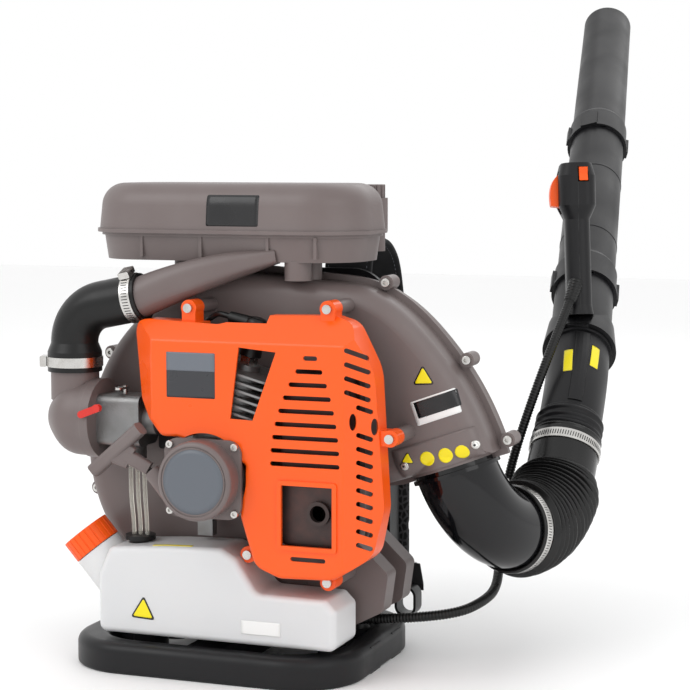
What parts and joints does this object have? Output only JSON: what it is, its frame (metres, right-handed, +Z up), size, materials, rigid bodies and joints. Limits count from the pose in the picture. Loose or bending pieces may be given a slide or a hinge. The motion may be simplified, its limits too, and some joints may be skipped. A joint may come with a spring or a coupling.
{
  "type": "backpack leaf blower",
  "caption": "Backpack leaf blower: two-stroke engine and fan on a harness base, domed air cleaner, fuel tank, swinging air pipe with control handle and twist-lock nozzle.",
  "frame": {"origin": "on the floor, under the middle bar of the base ring, between the isolators", "axes": "+Z up; +Y towards the wearer and along the air pipe; +X towards the air pipe side; the engine and fuel tank face -Y"},
  "size_m": [0.5727, 1.2583, 0.804],
  "materials": {
    "black_plastic": "fine satin texture",
    "cast_aluminium": "cast",
    "clear_line": "clear, soft",
    "fan_white": "satin",
    "filter_paper": "pleated",
    "gloss_black": "glossy",
    "gray_plastic": "fine satin texture",
    "muffler_steel": "heat-proof matt",
    "orange_gloss": "glossy",
    "orange_plastic": "satin",
    "pad_mesh": "open mesh",
    "red_plastic": "glossy",
    "rubber_black": "matte",
    "starter_gray": "satin",
    "steel": "brushed",
    "tank_white": "translucent, satin",
    "webbing": "woven"
  },
  "bodies": {
    "machine": {"base_frame": "black_plastic", "vibration_mounts": "rubber_black", "back_frame": "black_plastic", "back_pad": "pad_mesh", "shoulder_strap_left": "webbing", "shoulder_strap_right": "webbing", "strap_fittings": "black_plastic", "fan_housing_front": "gray_plastic", "fan_housing_rear": "gray_plastic", "housing_screws": "steel", "intake_guard": "black_plastic", "crankcase": "cast_aluminium", "cylinder": "cast_aluminium", "spark_plug": "steel", "plug_boot": "rubber_black", "ignition_lead": "rubber_black", "ignition_coil": "black_plastic", "muffler": "muffler_steel", "engine_cover": "orange_gloss", "cover_screws": "steel", "starter_housing": "gray_plastic", "starter_screws": "steel", "recoil_spring": "steel", "starter_rope": "webbing", "carburettor": "cast_aluminium", "intake_manifold": "black_plastic", "intake_housing": "gray_plastic", "intake_plate": "gray_plastic", "intake_elbow": "rubber_black", "intake_clamps": "steel", "air_cleaner_base": "gray_plastic", "air_filter": "filter_paper", "fuel_tank": "tank_white", "fuel_grommet": "rubber_black", "fuel_lines": "clear_line", "elbow_pipe": "gloss_black", "flexible_hose": "rubber_black", "hose_clamp_lower": "steel", "control_loom": "rubber_black"},
    "rotor": {"crankshaft": "steel", "flywheel": "cast_aluminium", "impeller": "fan_white"},
    "piston": {"piston": "cast_aluminium"},
    "starter_grip": {"starter_handle": "gray_plastic"},
    "starter_reel": {"starter_pulley": "starter_gray"},
    "choke": {"choke_lever": "red_plastic"},
    "throttle": {"throttle_shaft": "steel"},
    "cleaner_lid": {"air_cleaner_lid": "gray_plastic"},
    "left_knob": {"knob_left": "gray_plastic"},
    "right_knob": {"knob_right": "gray_plastic"},
    "filler_cap": {"fuel_cap": "orange_plastic"},
    "air_pipe": {"swivel_pipe": "black_plastic", "hose_clamp_upper": "steel", "handle_clamp": "black_plastic", "handle_left": "black_plastic", "handle_right": "black_plastic"},
    "trigger": {"throttle_trigger": "orange_plastic"},
    "switch": {"stop_switch": "orange_plastic"},
    "extension": {"extension_pipe": "black_plastic"},
    "tip": {"nozzle": "black_plastic"}
  },
  "joints": [
    {"name": "rotor_spin", "type": "hinge", "parent": "machine", "child": "rotor", "pos_m": [0.012, -0.08, 0.223], "axis": [0, 1, 0], "continuous": true},
    {"name": "piston_slide", "type": "slide", "parent": "machine", "child": "piston", "axis": [0.2588, 0, 0.9659], "range_m": [-0.0185, 0.0185]},
    {"name": "starter_pull", "type": "slide", "parent": "machine", "child": "starter_grip", "axis": [-0.5499, -0.6198, 0.5599], "range_m": [0, 0.5]},
    {"name": "starter_reel_turn", "type": "hinge", "parent": "machine", "child": "starter_reel", "pos_m": [0.012, -0.153, 0.223], "axis": [0, 1, 0], "range_deg": [0, 900]},
    {"name": "choke_turn", "type": "hinge", "parent": "machine", "child": "choke", "pos_m": [-0.133, -0.15, 0.286], "axis": [0, -1, 0], "range_deg": [0, 55]},
    {"name": "throttle_turn", "type": "hinge", "parent": "machine", "child": "throttle", "pos_m": [-0.104, -0.106, 0.277], "axis": [0, 0, 1], "range_deg": [0, 75]},
    {"name": "lid_lift", "type": "slide", "parent": "machine", "child": "cleaner_lid", "axis": [0, 0, 1], "range_m": [0, 0.12]},
    {"name": "knob_left_turn", "type": "hinge", "parent": "cleaner_lid", "child": "left_knob", "pos_m": [-0.14, 0.05, 0.52], "axis": [0, 0, 1], "range_deg": [0, 720]},
    {"name": "knob_right_turn", "type": "hinge", "parent": "cleaner_lid", "child": "right_knob", "pos_m": [0.134, 0.05, 0.52], "axis": [0, 0, 1], "range_deg": [0, 720]},
    {"name": "fuel_cap_turn", "type": "hinge", "parent": "machine", "child": "filler_cap", "pos_m": [-0.113, -0.103, 0.096], "axis": [-0.6191, -0.0999, 0.7789], "range_deg": [0, 540]},
    {"name": "hose_bend", "type": "hinge", "parent": "machine", "child": "air_pipe", "pos_m": [0.31356, 0.13689, 0.1549], "axis": [1, 0, 0], "range_deg": [-30, 20], "deforming": ["flexible_hose", "control_loom"]},
    {"name": "trigger_pull", "type": "hinge", "parent": "air_pipe", "child": "trigger", "pos_m": [0.28019, 0.34349, 0.53966], "axis": [0.3487, -0.9272, 0.137], "range_deg": [0, 15], "stiffness_Nm_per_rad": 0.6},
    {"name": "switch_rock", "type": "hinge", "parent": "air_pipe", "child": "switch", "pos_m": [0.30914, 0.32738, 0.54669], "axis": [0.9346, 0.3549, 0.0231], "range_deg": [-12, 12]},
    {"name": "extension_twist", "type": "hinge", "parent": "air_pipe", "child": "extension", "pos_m": [0.28209, 0.45582, 0.39895], "axis": [0.1584, -0.8398, -0.5193], "range_deg": [0, 20]},
    {"name": "nozzle_twist", "type": "hinge", "parent": "extension", "child": "tip", "pos_m": [0.22364, 0.7657, 0.59057], "axis": [0.1584, -0.8398, -0.5193], "range_deg": [0, 20]}
  ],
  "couplings": [
    {"joint": "starter_reel_turn", "follows": "starter_pull", "rad_per_m": 31.25},
    {"joint": "throttle_turn", "follows": "trigger_pull", "ratio": 5}
  ]
}
